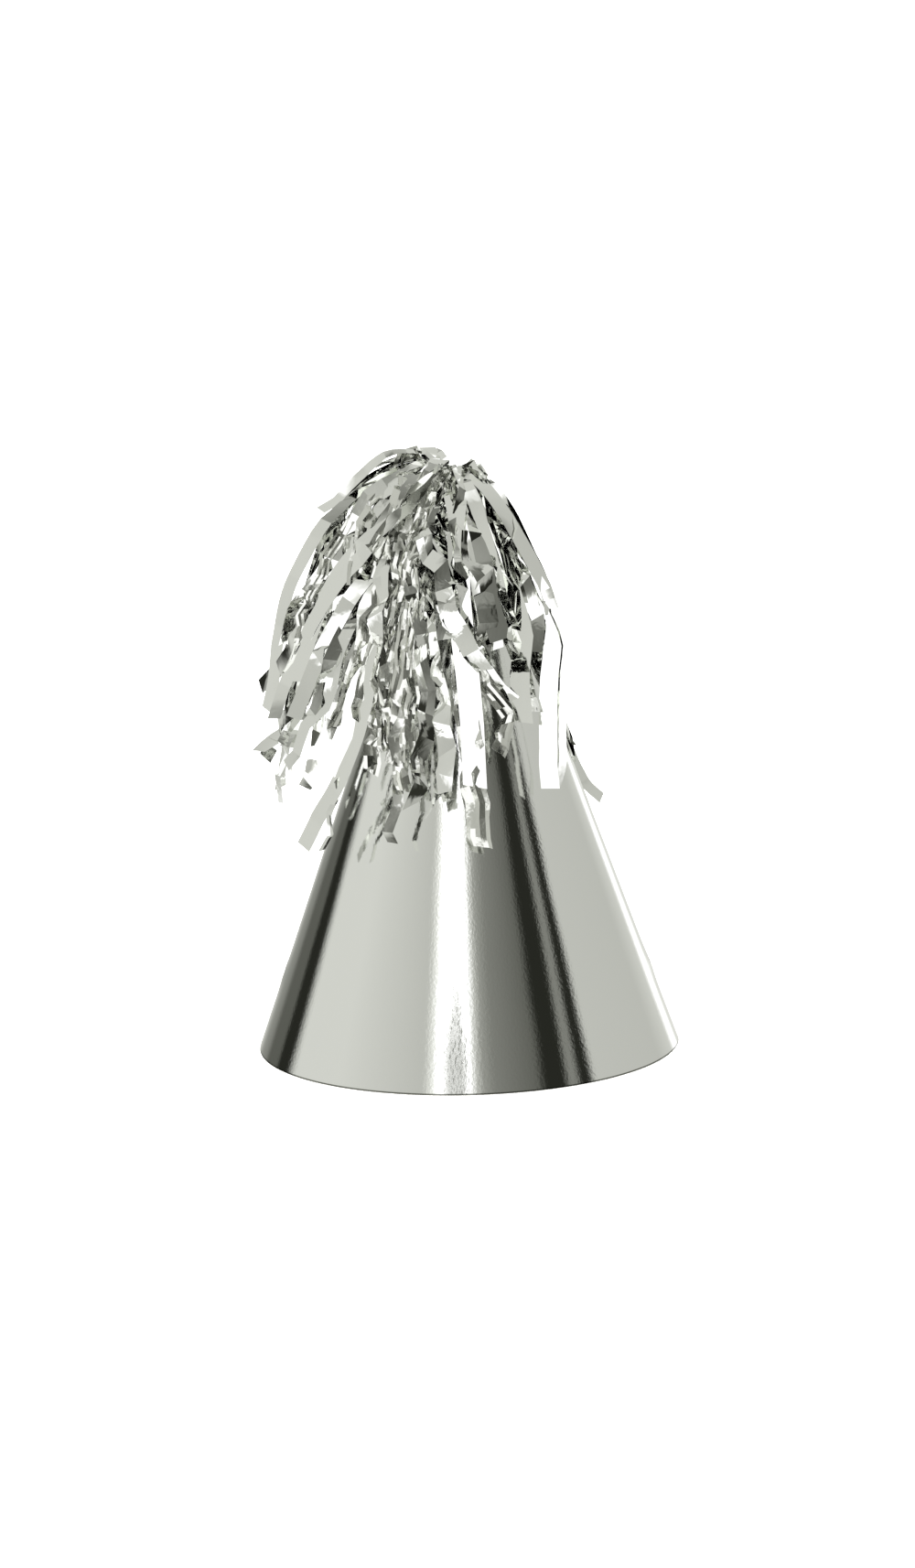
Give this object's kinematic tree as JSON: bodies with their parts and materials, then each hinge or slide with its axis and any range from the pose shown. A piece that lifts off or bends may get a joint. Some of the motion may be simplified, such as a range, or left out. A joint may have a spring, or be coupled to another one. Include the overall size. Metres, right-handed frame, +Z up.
{
  "type": "party hat",
  "caption": "Cone party hat of silver foil card with a glued back seam, punched holes for a chin elastic, and a mirror-film fringe that hangs from its tip in liftable locks.",
  "frame": {"origin": "centre of the rim's circle, on the surface the hat stands on", "axes": "+Z up through the tip, front towards -Y, glued seam at +Y, elastic holes on the plane of X and Z"},
  "size_m": [0.12, 0.1206, 0.1764],
  "materials": {
    "card": "uncoated white card inside, hidden by film outside",
    "silver_film": "metallised mirror film",
    "seam_glue": "dried glue",
    "fringe_film": "metallised mirror film, creased",
    "tie_wire": "drawn wire",
    "hot_melt": "hot-melt glue"
  },
  "bodies": {
    "hat": {"card_cone": "card", "film_laminate": "silver_film", "seam_glue": "seam_glue", "fringe_stem": "fringe_film", "wire_tie": "tie_wire", "tip_glue": "hot_melt"},
    "lock_front": {"leaf_front_outer": "fringe_film", "leaf_front_middle": "fringe_film", "leaf_front_inner": "fringe_film"},
    "lock_front_right": {"leaf_front_right_outer": "fringe_film", "leaf_front_right_middle": "fringe_film", "leaf_front_right_inner": "fringe_film"},
    "lock_back_right": {"leaf_back_right_outer": "fringe_film", "leaf_back_right_middle": "fringe_film", "leaf_back_right_inner": "fringe_film"},
    "lock_back": {"leaf_back_outer": "fringe_film", "leaf_back_middle": "fringe_film", "leaf_back_inner": "fringe_film"},
    "lock_back_left": {"leaf_back_left_outer": "fringe_film", "leaf_back_left_middle": "fringe_film", "leaf_back_left_inner": "fringe_film"},
    "lock_front_left": {"leaf_front_left_outer": "fringe_film", "leaf_front_left_middle": "fringe_film", "leaf_front_left_inner": "fringe_film"}
  },
  "joints": [
    {"name": "front_lock_lift", "type": "hinge", "parent": "hat", "child": "lock_front", "pos_m": [0, -0.005, 0.1763], "axis": [-1, 0, 0], "range_deg": [0, 45]},
    {"name": "front_right_lock_lift", "type": "hinge", "parent": "hat", "child": "lock_front_right", "pos_m": [0.00433, -0.0025, 0.1763], "axis": [-0.5, -0.866, 0], "range_deg": [0, 45]},
    {"name": "back_right_lock_lift", "type": "hinge", "parent": "hat", "child": "lock_back_right", "pos_m": [0.00433, 0.0025, 0.1763], "axis": [0.5, -0.866, 0], "range_deg": [0, 45]},
    {"name": "back_lock_lift", "type": "hinge", "parent": "hat", "child": "lock_back", "pos_m": [0, 0.005, 0.1763], "axis": [1, 0, 0], "range_deg": [0, 45]},
    {"name": "back_left_lock_lift", "type": "hinge", "parent": "hat", "child": "lock_back_left", "pos_m": [-0.00433, 0.0025, 0.1763], "axis": [0.5, 0.866, 0], "range_deg": [0, 45]},
    {"name": "front_left_lock_lift", "type": "hinge", "parent": "hat", "child": "lock_front_left", "pos_m": [-0.00433, -0.0025, 0.1763], "axis": [-0.5, 0.866, 0], "range_deg": [0, 45]}
  ]
}
